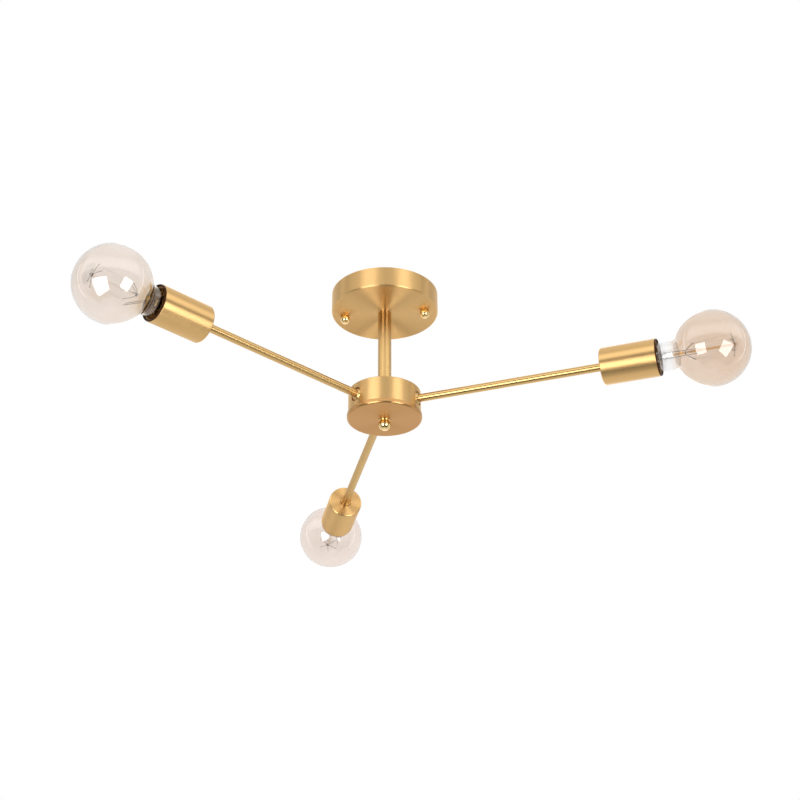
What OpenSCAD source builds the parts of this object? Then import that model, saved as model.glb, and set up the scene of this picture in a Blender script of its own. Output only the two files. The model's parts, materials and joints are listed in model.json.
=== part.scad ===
// Three-light semi-flush chandelier with swivelling arms and clear globe lamps.
// Origin: centre of the canopy's open face, in the plane of the ceiling. +Z is up, so the light
// hangs at negative Z. +X runs along the ceiling bracket, and +Y points away from the viewer.

/* [Canopy] */
// Diameter of the canopy
canopy_d = 120; // [110:1:160]
// Depth of the canopy
canopy_h = 24; // [20:1:40]
// Sheet thickness of the canopy
canopy_wall = 1.2; // [0.8:0.1:2]
// Radius of the canopy's rounded lower edge
canopy_edge_r = 2; // [1:0.1:4]

/* [Ceiling bracket] */
// Length of the bracket
bracket_len = 104; // [98:1:106]
// Width of the bracket
bracket_w = 22; // [18:1:26]
// Depth of the bracket's channel
bracket_h = 5; // [4.5:0.5:7]
// Sheet thickness of the bracket
bracket_t = 1.5; // [1:0.1:2]
// Distance between the centres of the two ceiling screw slots
slot_spacing = 66; // [60:1:68]
// Width of a ceiling screw slot
slot_w = 5; // [4:0.5:6]
// End-to-end length of a ceiling screw slot
slot_len = 19; // [12:1:20]
// Diameter of the hole for the supply cable
cable_hole_d = 14; // [10:1:18]
// Distance between the two canopy studs
stud_spacing = 91; // [88:1:94]
// Diameter of a canopy stud and of the earth screw
stud_d = 4; // [3:0.5:5]
// Distance of the earth screw from the bracket's centre
earth_screw_x = 16; // [14:1:18]

/* [Ball nuts] */
// Ball diameter of a canopy cap nut
cap_ball_d = 10.4; // [9:0.1:12]
// Height of a canopy cap nut
cap_nut_h = 9.8; // [9:0.1:14]
// Ball diameter of the hub's finial
finial_ball_d = 13.8; // [12:0.1:16]
// Height of the hub's finial
finial_h = 12.4; // [12:0.1:18]

/* [Stem] */
// Diameter of the stem
stem_d = 15; // [13:0.5:20]
// Visible length of the stem
stem_len = 102; // [60:1:400]
// Bore of the stem between its threaded ends
stem_bore_d = 12; // [11:0.1:12.5]
// Depth of the thread in each end of the stem
stem_thread_len = 16; // [14:1:25]
// Diameter of the threaded nipple and of the hub's centre post
nipple_d = 10; // [9:0.5:10]
// Wire bore of the nipple and of the centre post
nipple_bore_d = 7; // [5:0.5:7.5]

/* [Hub] */
// Diameter of the hub body
hub_d = 80; // [78:1:100]
// Height of the hub with its cover
hub_h = 33.5; // [33:0.5:45]
// Sheet thickness of the hub body
hub_wall = 2; // [1.5:0.1:3]
// Height of the cover's rim
cover_rim_h = 5.5; // [4:0.5:8]
// Sheet thickness of the cover's rim
cover_wall = 1.2; // [0.8:0.1:2]
// Thickness of the cover's floor
cover_floor = 1.5; // [1:0.1:2.5]
// Diameter of the rod that holds the cover
rod_d = 6; // [5:0.5:6.5]
// Turn of the hub about the stem, given by the direction of the right arm's hole
hub_turn = -13.6; // [-60:0.1:60]

/* [Arms] */
// Height of the arms' axes above the underside of the hub
arm_height = 19.2; // [18:0.1:20]
// Diameter of an arm tube
arm_d = 9; // [8:0.5:10]
// Bore of an arm tube
arm_bore_d = 6; // [4:0.5:6.5]
// Distance from the swivel's centre to the back of the cup
arm_len = 212.3; // [120:0.1:400]
// Diameter of a swivel ball
ball_d = 18; // [17:0.5:18.5]
// Diameter of the round hole that an arm leaves the hub through
arm_hole_d = 16; // [15:0.5:16.5]
// How far each arm is swung sideways from its hole: right, rear, left
arm_swing = [1.5, 3.7, 4.3]; // [-15:0.1:15]
// How far each arm is tilted up: right, rear, left
arm_tilt = [0, -2.5, 1.2]; // [-15:0.1:15]

/* [Cups and lampholders] */
// Diameter of a cup
cup_d = 40; // [38:0.5:44]
// Length of a cup
cup_len = 59; // [57:1:64]
// Sheet thickness of a cup's side
cup_wall = 1.3; // [0.8:0.1:1.5]
// Thickness of a cup's turned back
cup_back_t = 3; // [2.5:0.1:4]
// Radius of a cup's rounded back edge
cup_edge_r = 2.5; // [1:0.1:4]
// Thickness of the lampholder's lip in front of the cup
lip_t = 1.6; // [1:0.1:3]
// Diameter of the lampholder's lip
lip_d = 39.4; // [37:0.1:40]
// Inner diameter of the lampholder's mouth
holder_mouth_d = 33.5; // [32.5:0.1:34]
// Inner diameter of the lampholder's screw shell
screw_shell_d = 26.8; // [26.7:0.05:27.2]
// Depth of the lampholder's contact behind the cup's mouth
contact_depth = 38.3; // [37:0.1:42]

/* [Lamps] */
// Diameter of a lamp's globe
globe_d = 80; // [70:1:95]
// Overall length of a lamp
lamp_len = 122; // [118:1:140]
// Diameter of a lamp's glass neck
neck_d = 31; // [29:0.1:32]
// Thickness of the glass
glass_t = 0.8; // [0.5:0.1:1.2]
// Diameter of the lamp's screw cap
cap_d = 26.2; // [26:0.05:26.4]
// Height of the lamp's screw cap with its contact
cap_h = 25; // [24:0.5:27]
// How far each lamp is unscrewed from home: right, rear, left
lamp_out = [12.3, 0, 5.5]; // [0:0.1:18]
// Turn of each lamp's filament about the arm: right, rear, left
filament_turn = [60, 0, 30]; // [0:5:360]

/* [Fits] */
// Radial gap between pieces that screw together
thread_gap = 0.1; // [0.05:0.01:0.2]
// Radial gap of a hole that a screw or tube passes through
hole_gap = 0.2; // [0.1:0.05:0.5]
// Running gap of the swivel ball in its liner, and of the liner in its pocket
swivel_gap = 0.05; // [0.02:0.01:0.1]
// Gap between the swivel ball and the edge of its hole
ball_edge_gap = 0.1; // [0.05:0.01:0.3]
// Gap between the lampholder and the cup
holder_gap = 0.3; // [0.1:0.05:0.5]
// Gap between the lamp's contact and the lampholder's contact when the lamp is screwed home
contact_gap = 0.3; // [0.1:0.05:0.5]

/* [Hidden] */
$fn = 72;
SIDES = ["right", "rear", "left"];
HUB_NODES = [
    "canopy_shell", "ceiling_bracket", "bracket_studs", "canopy_cap_nuts", "earth_screw",
    "canopy_washer", "canopy_lock_nut", "canopy_nipple", "stem_tube", "hub_shell",
    "arm_socket_block", "hub_washer", "hub_lock_nut", "hub_center_post", "hub_cover", "hub_finial"
];
ARM_PARTS = [
    "ball_liner", "swivel_ball", "arm_tube", "cup", "cup_nut", "holder_body", "screw_shell",
    "holder_contact", "lamp_tip", "lamp_cap", "cap_insulator", "globe", "glass_stem",
    "filament_mount"
];

// How far a cut runs past the face that it opens
cut = 1;

// Heights, from the ceiling down
stem_top_z = -canopy_h;
hub_top_z = stem_top_z - stem_len;
hub_bottom_z = hub_top_z - hub_h;
arm_z = hub_bottom_z + arm_height;

// Canopy fastenings
washer_t = 1.2;
washer_d = 2 * nipple_d;
lock_nut_af = nipple_d + 4;
lock_nut_h = 4;
thread_proud = 2;
nipple_above = canopy_wall + washer_t + lock_nut_h + thread_proud;
nipple_below = stem_thread_len - 2;
stud_head_h = 2.4;
stud_head_d = 2 * stud_d;
stud_head_top_d = 0.8 * stud_head_d;
stud_below = 0.6 * cap_nut_h;
nut_bore_spare = 0.5;

// Hub inside
hub_r = hub_d / 2;
hub_inner_r = hub_r - hub_wall;
hub_edge_r = 1.5;
hole_r = arm_hole_d / 2;
ball_r = ball_d / 2;
liner_t = 0.95;
liner_in_r = ball_r + swivel_gap;
liner_out_r = liner_in_r + liner_t;
pocket_r = liner_out_r + swivel_gap;
ball_centre_r = sqrt(pow(hub_inner_r, 2) - pow(hole_r, 2))
    - sqrt(pow(ball_r + ball_edge_gap, 2) - pow(hole_r, 2));
liner_rim_s = 0.54 * ball_r;
liner_proud = 1;
block_r = ball_centre_r - liner_rim_s + liner_proud;
block_back_t = 5;
block_inner_r = ball_centre_r - pocket_r - block_back_t;
block_web_t = 4;
block_floor_t = 0.7;
block_top_z = hub_top_z - hub_wall;
block_bottom_z = arm_z - pocket_r - block_floor_t;
wire_hole_d = arm_bore_d + 2;
post_web_z = block_top_z - block_web_t;
post_nut_z = post_web_z - washer_t - lock_nut_h;
post_top_z = hub_top_z + nipple_below;
window_h = 5;
window_w = 5;
post_floor_z = post_nut_z - cut - window_h;
post_end_z = post_floor_z - 2;
rod_below = 0.45 * finial_h;
cover_edge_r = 1.4;

// Arm and cup, measured along the arm from the swivel's centre
spigot_d = arm_d - 1;
spigot_socket_s = 0.5;
spigot_start_s = spigot_socket_s + 0.3;
ball_flat_s = sqrt(pow(ball_r, 2) - pow(arm_d / 2, 2));
collar_d = arm_d + 2.4;
collar_proud = 1.2;
recess_d = arm_d + 7;
recess_depth = 1;
mouth_s = arm_len + cup_len;
cup_nut_af = arm_d + 4;
cup_nut_h = 3.5;
cup_nut_s = arm_len + cup_back_t;
holder_s = cup_nut_s + cup_nut_h + 0.5;
tube_end_s = holder_s + 6;

// Lampholder and lamp
globe_r = globe_d / 2;
neck_r = neck_d / 2;
cap_rim_y = -(lamp_len - globe_r - cap_h);
tip_y = -(lamp_len - globe_r);
contact_top_s = mouth_s - contact_depth;
home_s = contact_top_s + contact_gap - tip_y;
contact_rise = 4.7;
holder_floor_s = contact_top_s - contact_rise;
holder_r = cup_d / 2 - cup_wall - holder_gap;
mouth_bore_s = home_s + cap_rim_y - 1;
shell_t = 0.8;
shell_out_r = screw_shell_d / 2 + shell_t;
shell_start_s = holder_floor_s + 1;
shell_end_s = mouth_bore_s - 0.5;
shell_floor_hole_d = 19;
tip_d = 9.5;
tip_top_d = tip_d - 3;
tip_h = 1;
insulator_h = 2;
insulator_d = tip_d + 6;
cone_y = tip_y + tip_h + insulator_h;
cone_h = 3.5;
cap_t = 0.5;
neck_fillet_r = 6;
fillet_bite = 0.02;
neck_end_r = cap_d / 2 - cap_t - 0.2;
neck_seat = 5;
neck_taper = 4;

// Inside the lamp, measured along the lamp from the globe's centre
flare_y = cap_rim_y - neck_seat;
flare_h = 6;
flare_r = neck_end_r - glass_t - 0.1;
stem_tube_r = 4;
press_y = -globe_r - 8;
press_h = 5;
press_w = 2 * stem_tube_r - 0.4;
press_t = 3.2;
stem_end_wall = 2;
near_star_y = -28;
far_star_y = 23;
glass_rod_d = 2.6;
ring_d = glass_rod_d + 2;
ring_h = 1.6;
ring_fit = 0.02;
rod_end_y = far_star_y + ring_h + 1;
star_wire_d = 0.5;
filament_d = 0.3;
crimp = 1.1;
crimp_pitch = 0.25;
near_star_r = 10;
far_star_r = 11;
near_hooks = 5;
far_hooks = near_hooks + 1;
near_lean = 3;
far_lean = -2;
hook_step = 360 / far_hooks;
lead_r = 13;
lead_end_y = near_star_y + 7;
lead_exit_r = 3;

function hole_angle(k) = hub_turn + 120 * k;
function lamp_s(k) = home_s + lamp_out[k];

// Places its children at a swivel's centre, with +Z along the swung arm before it is tilted.
module at_swivel(k) {
    translate([0, 0, arm_z])
        rotate([0, 0, hole_angle(k)])
            translate([ball_centre_r, 0, 0])
                rotate([0, 0, arm_swing[k]])
                    rotate([0, 90, 0])
                        children();
}

// Places its children at a swivel's centre, with +Z along the arm.
module at_arm(k) {
    at_swivel(k)
        rotate([0, -arm_tilt[k], 0])
            children();
}

// Places its children at a globe's centre, with +Z along the arm.
module at_lamp(k) {
    at_arm(k)
        translate([0, 0, lamp_s(k)])
            children();
}

// Half outline of a disc whose lower rim is rounded, standing on y = 0.
module rounded_disc_outline(r, h, edge_r) {
    square([r - edge_r, h]);
    translate([0, edge_r])
        square([r, h - edge_r]);
    translate([r - edge_r, edge_r])
        circle(edge_r);
}

// Half outline of a pan that is open upwards, standing on y = 0.
module pan_outline(r, h, wall, floor_t, edge_r) {
    difference() {
        rounded_disc_outline(r, h, edge_r);
        translate([0, floor_t])
            rounded_disc_outline(r - wall, h, max(edge_r - wall, 0.3));
    }
}

// Right half of a circle, centred on y.
module half_circle(r, y) {
    translate([0, y])
        intersection() {
            circle(r);
            translate([0, -r])
                square([r, 2 * r]);
        }
}

// Turned nut with a thin flange, a neck and a ball, hanging from z = 0. A low nut's ball is
// cut off flat at its top, where it meets the flange.
module ball_nut(ball_d, height, bore_d, bore_depth) {
    flange_h = 0.1 * ball_d;
    flange_r = 0.42 * ball_d;
    neck_r = 0.31 * ball_d;
    ball_y = -(height - ball_d / 2);
    rotate_extrude()
        difference() {
            union() {
                translate([0, -flange_h])
                    square([flange_r, flange_h]);
                translate([flange_r, -flange_h / 2])
                    circle(flange_h / 2, $fn = 32);
                translate([0, ball_y])
                    square([neck_r, -ball_y]);
                intersection() {
                    half_circle(ball_d / 2, ball_y);
                    translate([0, -height - cut])
                        square([ball_d, height + cut]);
                }
            }
            translate([0, -bore_depth])
                square([bore_d / 2, bore_depth + cut]);
        }
}

module hex_nut(across_flats, h, bore_d) {
    difference() {
        cylinder(d = across_flats / cos(30), h = h, $fn = 6);
        translate([0, 0, -cut])
            cylinder(d = bore_d, h = h + 2 * cut);
    }
}

module washer(d, h, bore_d) {
    difference() {
        cylinder(d = d, h = h);
        translate([0, 0, -cut])
            cylinder(d = bore_d, h = h + 2 * cut);
    }
}

module canopy_shell() {
    color("goldenrod")
        translate([0, 0, -canopy_h])
            difference() {
                rotate_extrude()
                    pan_outline(canopy_d / 2, canopy_h, canopy_wall, canopy_wall, canopy_edge_r);
                translate([0, 0, -cut])
                    cylinder(d = nipple_d + 2 * hole_gap, h = canopy_wall + 2 * cut);
                for (side = [-1, 1])
                    translate([side * stud_spacing / 2, 0, -cut])
                        cylinder(d = stud_d + 2 * hole_gap, h = canopy_wall + 2 * cut);
            }
}

// Shallow steel channel with its web at the bottom and its flanges against the ceiling.
module ceiling_bracket() {
    color("silver")
        difference() {
            translate([-bracket_len / 2, -bracket_w / 2, -bracket_h])
                cube([bracket_len, bracket_w, bracket_h]);
            translate([-bracket_len / 2 - cut, -bracket_w / 2 + bracket_t, bracket_t - bracket_h])
                cube([bracket_len + 2 * cut, bracket_w - 2 * bracket_t, bracket_h]);
            translate([0, 0, -bracket_h - cut]) {
                cylinder(d = cable_hole_d, h = bracket_t + 2 * cut);
                for (x = [-earth_screw_x, -stud_spacing / 2, stud_spacing / 2])
                    translate([x, 0, 0])
                        cylinder(d = stud_d + 2 * thread_gap, h = bracket_t + 2 * cut);
                for (side = [-1, 1])
                    translate([side * slot_spacing / 2, 0, 0])
                        slot_cutter(slot_len, slot_w, bracket_t + 2 * cut);
            }
        }
}

module slot_cutter(len, w, h) {
    for (end = [-1, 1])
        translate([end * (len - w) / 2, 0, 0])
            cylinder(d = w, h = h);
    translate([-(len - w) / 2, -w / 2, 0])
        cube([len - w, w, h]);
}

module bracket_studs() {
    web_top_z = bracket_t - bracket_h;
    color("gainsboro")
        for (side = [-1, 1])
            translate([side * stud_spacing / 2, 0, 0]) {
                translate([0, 0, -canopy_h - stud_below])
                    cylinder(d = stud_d, h = canopy_h + stud_below + web_top_z);
                translate([0, 0, web_top_z])
                    cylinder(d1 = stud_head_d, d2 = stud_head_top_d, h = stud_head_h);
            }
}

module canopy_cap_nuts() {
    color("gold")
        for (side = [-1, 1])
            translate([side * stud_spacing / 2, 0, -canopy_h])
                ball_nut(cap_ball_d, cap_nut_h, stud_d + 2 * thread_gap,
                    stud_below + nut_bore_spare);
}

module earth_screw() {
    color("gainsboro")
        translate([-earth_screw_x, 0, -bracket_h]) {
            translate([0, 0, -stud_head_h])
                cylinder(d1 = stud_head_top_d, d2 = stud_head_d, h = stud_head_h);
            cylinder(d = stud_d, h = 0.8 * bracket_h);
        }
}

module canopy_washer() {
    color("silver")
        translate([0, 0, canopy_wall - canopy_h])
            washer(washer_d, washer_t, nipple_d + 2 * hole_gap);
}

module canopy_lock_nut() {
    color("silver")
        translate([0, 0, canopy_wall + washer_t - canopy_h])
            hex_nut(lock_nut_af, lock_nut_h, nipple_d + 2 * thread_gap);
}

module canopy_nipple() {
    color("silver")
        translate([0, 0, stem_top_z - nipple_below])
            washer(nipple_d, nipple_below + nipple_above, nipple_bore_d);
}

module stem_tube() {
    color("goldenrod")
        translate([0, 0, hub_top_z])
            difference() {
                cylinder(d = stem_d, h = stem_len);
                translate([0, 0, -cut])
                    cylinder(d = nipple_d + 2 * thread_gap, h = stem_len + 2 * cut);
                translate([0, 0, stem_thread_len])
                    cylinder(d = stem_bore_d, h = stem_len - 2 * stem_thread_len);
            }
}

// Upside-down pan with three round holes for the arms.
module hub_shell() {
    wall_h = hub_h - cover_floor;
    color("goldenrod")
        difference() {
            translate([0, 0, hub_top_z])
                mirror([0, 0, 1])
                    rotate_extrude()
                        pan_outline(hub_r, wall_h, hub_wall, hub_wall, hub_edge_r);
            translate([0, 0, hub_top_z - hub_wall - cut])
                cylinder(d = nipple_d + 2 * hole_gap, h = hub_wall + 2 * cut);
            for (k = [0:2])
                translate([0, 0, arm_z])
                    rotate([0, 0, hole_angle(k)])
                        rotate([0, 90, 0])
                            translate([0, 0, hub_r / 2])
                                cylinder(r = hole_r, h = hub_r);
        }
}

// Cast block under the hub's top, with a round pocket and a wire hole behind each swivel ball.
module arm_socket_block() {
    color("darkgray")
        difference() {
            translate([0, 0, block_bottom_z])
                cylinder(r = block_r, h = block_top_z - block_bottom_z);
            translate([0, 0, block_bottom_z - cut])
                cylinder(r = block_inner_r, h = post_web_z - block_bottom_z + cut);
            translate([0, 0, block_bottom_z])
                cylinder(d = nipple_d + 2 * hole_gap, h = block_top_z - block_bottom_z + cut);
            for (k = [0:2])
                translate([0, 0, arm_z])
                    rotate([0, 0, hole_angle(k)]) {
                        translate([ball_centre_r, 0, 0])
                            sphere(pocket_r);
                        translate([block_inner_r / 2, 0, 0])
                            rotate([0, 90, 0])
                                cylinder(d = wire_hole_d, h = ball_centre_r - block_inner_r / 2);
                    }
        }
}

module hub_washer() {
    color("silver")
        translate([0, 0, post_web_z - washer_t])
            washer(washer_d, washer_t, nipple_d + 2 * hole_gap);
}

module hub_lock_nut() {
    color("silver")
        translate([0, 0, post_nut_z])
            hex_nut(lock_nut_af, lock_nut_h, nipple_d + 2 * thread_gap);
}

// Threaded tube into the stem, with wire windows below the lock nut and a rod for the cover.
module hub_center_post() {
    color("silver")
        difference() {
            union() {
                translate([0, 0, post_end_z])
                    cylinder(d = nipple_d, h = post_top_z - post_end_z);
                translate([0, 0, hub_bottom_z - rod_below])
                    cylinder(d = rod_d, h = post_end_z - hub_bottom_z + rod_below + cut);
            }
            translate([0, 0, post_floor_z])
                cylinder(d = nipple_bore_d, h = post_top_z - post_floor_z + cut);
            translate([-nipple_d, -window_w / 2, post_floor_z])
                cube([2 * nipple_d, window_w, window_h]);
        }
}

// Shallow cap over the open end of the hub.
module hub_cover() {
    color("goldenrod")
        translate([0, 0, hub_bottom_z])
            difference() {
                rotate_extrude()
                    pan_outline(hub_r + thread_gap + cover_wall, cover_rim_h, cover_wall,
                        cover_floor, cover_edge_r);
                translate([0, 0, -cut])
                    cylinder(d = rod_d + 2 * hole_gap, h = cover_floor + 2 * cut);
            }
}

module hub_finial() {
    color("gold")
        translate([0, 0, hub_bottom_z])
            ball_nut(finial_ball_d, finial_h, rod_d + 2 * thread_gap, rod_below + nut_bore_spare);
}

// Cupped friction liner behind the swivel ball, with a hole for the wires.
module ball_liner(k) {
    color("ivory")
        at_swivel(k)
            rotate_extrude()
                difference() {
                    half_circle(liner_out_r, 0);
                    half_circle(liner_in_r, 0);
                    translate([0, -liner_rim_s])
                        square([2 * ball_r, 3 * ball_r]);
                    translate([0, -2 * ball_r])
                        square([wire_hole_d / 2, 4 * ball_r]);
                }
}

module swivel_ball(k) {
    color("gold")
        at_arm(k)
            difference() {
                sphere(ball_r);
                translate([0, 0, -2 * ball_r])
                    cylinder(d = arm_bore_d, h = 4 * ball_r);
                translate([0, 0, spigot_socket_s])
                    cylinder(d = spigot_d + 2 * thread_gap, h = ball_r);
                translate([0, 0, ball_flat_s])
                    cylinder(r = ball_r, h = ball_r);
            }
}

// Tube with a spigot for the ball, and a collar and thread for the cup.
module arm_tube(k) {
    color("goldenrod")
        at_arm(k)
            difference() {
                union() {
                    translate([0, 0, spigot_start_s])
                        cylinder(d = spigot_d, h = ball_flat_s);
                    translate([0, 0, ball_flat_s])
                        cylinder(d = arm_d, h = tube_end_s - ball_flat_s);
                    translate([0, 0, arm_len - collar_proud])
                        cylinder(d = collar_d, h = collar_proud + recess_depth);
                }
                cylinder(d = arm_bore_d, h = tube_end_s + cut);
            }
}

// Turned cup that hides the lampholder, open at the lamp's end.
module cup(k) {
    color("goldenrod")
        at_arm(k)
            translate([0, 0, arm_len])
                difference() {
                    rotate_extrude()
                        pan_outline(cup_d / 2, cup_len, cup_wall, cup_back_t, cup_edge_r);
                    translate([0, 0, -cut])
                        cylinder(d = arm_d + 2 * hole_gap, h = cup_back_t + 2 * cut);
                    translate([0, 0, -cut])
                        cylinder(d = recess_d, h = recess_depth + cut);
                }
}

module cup_nut(k) {
    color("silver")
        at_arm(k)
            translate([0, 0, cup_nut_s])
                hex_nut(cup_nut_af, cup_nut_h, arm_d + 2 * thread_gap);
}

// Moulded lampholder with a lip over the cup's rim.
module holder_body(k) {
    color("dimgray")
        at_arm(k)
            difference() {
                union() {
                    translate([0, 0, holder_s])
                        cylinder(r = holder_r, h = mouth_s - holder_s);
                    translate([0, 0, mouth_s])
                        cylinder(d = lip_d, h = lip_t);
                }
                translate([0, 0, holder_s - cut])
                    cylinder(d = arm_bore_d, h = cup_len);
                translate([0, 0, holder_s - cut])
                    cylinder(d = arm_d + 2 * thread_gap, h = tube_end_s - holder_s + 1.5 * cut);
                translate([0, 0, holder_floor_s])
                    cylinder(r = shell_out_r + thread_gap, h = cup_len);
                translate([0, 0, mouth_bore_s])
                    cylinder(d = holder_mouth_d, h = cup_len);
            }
}

module screw_shell(k) {
    color("darkgoldenrod")
        at_arm(k)
            difference() {
                translate([0, 0, shell_start_s])
                    cylinder(r = shell_out_r, h = shell_end_s - shell_start_s);
                translate([0, 0, shell_start_s - cut])
                    cylinder(d = shell_floor_hole_d, h = shell_t + 2 * cut);
                translate([0, 0, shell_start_s + shell_t])
                    cylinder(d = screw_shell_d, h = cup_len);
            }
}

// Leaf spring that the lamp's tip presses on.
module holder_contact(k) {
    leaf_w = 5;
    leaf_t = 0.8;
    foot_x = -7;
    bend_x = -4;
    top_y = contact_rise;
    color("darkgoldenrod")
        at_arm(k)
            translate([0, 0, holder_floor_s])
                rotate([90, 0, 0])
                    translate([0, 0, -leaf_w / 2])
                        linear_extrude(leaf_w)
                            polygon([
                                [foot_x, 0], [bend_x, 0], [bend_x, leaf_t], [bend_x - 1.6, leaf_t],
                                [-2, top_y - leaf_t], [3, top_y - leaf_t],
                                [4, top_y - 2 * leaf_t], [4.6, top_y - 1.5 * leaf_t],
                                [3.4, top_y], [-2.4, top_y], [foot_x, leaf_t]
                            ]);
}

// Solder contact at the end of the lamp's cap.
module lamp_tip(k) {
    color("silver")
        at_lamp(k)
            translate([0, 0, tip_y])
                cylinder(d1 = tip_top_d, d2 = tip_d, h = tip_h);
}

module lamp_cap(k) {
    color("khaki")
        at_lamp(k)
            translate([0, 0, cone_y])
                rotate_extrude()
                    polygon([
                        [insulator_d / 2, 0], [cap_d / 2, cone_h], [cap_d / 2, cap_rim_y - cone_y],
                        [cap_d / 2 - cap_t, cap_rim_y - cone_y], [cap_d / 2 - cap_t, cone_h],
                        [insulator_d / 2 - cap_t, 0]
                    ]);
}

// Black glass ring between the contact and the cap.
module cap_insulator(k) {
    color("black")
        at_lamp(k)
            translate([0, 0, tip_y + tip_h])
                cylinder(d1 = tip_d, d2 = insulator_d, h = insulator_h);
}

// Half outline of the glass, filled: globe, fillet, neck and the end that sits in the cap.
module glass_outline(r, neck, seat, fillet_r) {
    fillet_x = neck + fillet_r;
    fillet_y = -sqrt(pow(r + fillet_r - fillet_bite, 2) - pow(fillet_x, 2));
    half_circle(r, 0);
    difference() {
        polygon([[0, 0], [0, fillet_y], [fillet_x, fillet_y]]);
        translate([fillet_x, fillet_y])
            circle(fillet_r);
    }
    polygon([
        [0, 0], [0, flare_y], [seat, flare_y], [seat, cap_rim_y],
        [neck, cap_rim_y + neck_taper], [neck, 0]
    ]);
}

module globe(k) {
    color("bisque", 0.5)
        at_lamp(k)
            rotate_extrude()
                difference() {
                    glass_outline(globe_r, neck_r, neck_end_r, neck_fillet_r);
                    glass_outline(globe_r - glass_t, neck_r - glass_t, neck_end_r - glass_t,
                        neck_fillet_r + glass_t);
                    translate([0, flare_y - cut])
                        square([neck_end_r - glass_t, 2 * cut]);
                }
}

// Flared glass tube that closes the neck, its flat press, and the rod for the support wires.
module glass_stem(k) {
    hollow_end_y = press_y - stem_end_wall;
    color("white", 0.5)
        at_lamp(k)
            rotate([0, 0, filament_turn[k] + lead_angle() + 90]) {
                rotate_extrude()
                    polygon([
                        [flare_r, flare_y], [stem_tube_r, flare_y + flare_h],
                        [stem_tube_r, press_y], [0, press_y], [0, hollow_end_y],
                        [stem_tube_r - glass_t, hollow_end_y],
                        [stem_tube_r - glass_t, flare_y + flare_h], [flare_r - glass_t, flare_y]
                    ]);
                translate([-press_w / 2, -press_t / 2, press_y - cut])
                    cube([press_w, press_t, press_h + cut]);
                translate([0, 0, press_y])
                    cylinder(d = glass_rod_d, h = rod_end_y - press_y);
            }
}

function on_circle(angle, r, y) = [r * cos(angle), r * sin(angle), y];
function far_angle(i) = hook_step * i;
function near_angle(i) = hook_step * (i + 0.5);
function lead_angle() = -hook_step / 2;

// A point in a hook's crimp, moved a little along the star's rim.
function beside(angle, r, y, step) =
    on_circle(angle, r, y) + step * [-sin(angle), cos(angle), 0];
function beside_far(i, step) = beside(far_angle(i), far_star_r, far_star_y + far_lean, step);
function beside_near(i, step) = beside(near_angle(i), near_star_r, near_star_y + near_lean, step);

// Wire of square section from point a to point b.
module wire(a, b, d) {
    v = b - a;
    translate(a)
        rotate([0, acos(v[2] / norm(v)), atan2(v[1], v[0])])
            translate([-d / 2, -d / 2, 0])
                cube([d, d, norm(v)]);
}

module crimp_at(angle, r, y) {
    translate(on_circle(angle, r, y))
        rotate([0, 0, angle])
            cube(crimp, center = true);
}

// Ring on the glass rod with a spoke out to each crimp that holds the filament.
module support_star(y, angles, r, lean) {
    translate([0, 0, y])
        washer(ring_d, ring_h, glass_rod_d + 2 * ring_fit);
    for (angle = angles) {
        wire(on_circle(angle, glass_rod_d / 2 + 0.4, y + ring_h / 2), on_circle(angle, r, y + lean),
            star_wire_d);
        crimp_at(angle, r, y + lean);
    }
}

// Two stars of support wires, the filament strung between them, and its two lead wires.
module filament_mount(k) {
    lead_exits = [for (side = [1, -1])
        on_circle(lead_angle() + 90 * side, lead_exit_r, press_y + press_h + 0.15)];
    lead_angles = [for (side = [1, -1]) lead_angle() + side * hook_step / 4];
    lead_ends = [for (angle = lead_angles) on_circle(angle, lead_r, lead_end_y)];
    color("dimgray")
        at_lamp(k)
            rotate([0, 0, filament_turn[k]]) {
                support_star(near_star_y, [for (i = [0:near_hooks - 1]) near_angle(i)],
                    near_star_r, near_lean);
                support_star(far_star_y, [for (i = [0:far_hooks - 1]) far_angle(i)],
                    far_star_r, far_lean);
                for (side = [0, 1]) {
                    wire(lead_exits[side], lead_ends[side], star_wire_d);
                    crimp_at(lead_angles[side], lead_r, lead_end_y);
                }
                wire(lead_ends[0], beside_far(0, -crimp_pitch), filament_d);
                for (i = [0:near_hooks - 1]) {
                    wire(beside_far(i, crimp_pitch), beside_near(i, -crimp_pitch), filament_d);
                    wire(beside_near(i, crimp_pitch), beside_far(i + 1, -crimp_pitch), filament_d);
                }
                wire(beside_far(near_hooks, crimp_pitch), lead_ends[1], filament_d);
            }
}

for (k = [0:2]) {
    ball_liner(k);
    swivel_ball(k);
    arm_tube(k);
    cup(k);
    cup_nut(k);
    holder_body(k);
    screw_shell(k);
    holder_contact(k);
    lamp_tip(k);
    lamp_cap(k);
    cap_insulator(k);
    globe(k);
    glass_stem(k);
    filament_mount(k);
}
canopy_shell();
ceiling_bracket();
bracket_studs();
canopy_cap_nuts();
earth_screw();
canopy_washer();
canopy_lock_nut();
canopy_nipple();
stem_tube();
hub_shell();
arm_socket_block();
hub_washer();
hub_lock_nut();
hub_center_post();
hub_cover();
hub_finial();
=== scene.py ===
import json
import math

import bmesh
import bpy
from bpy.props import FloatProperty, FloatVectorProperty, IntProperty, PointerProperty
from mathutils import Matrix, Vector


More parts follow.
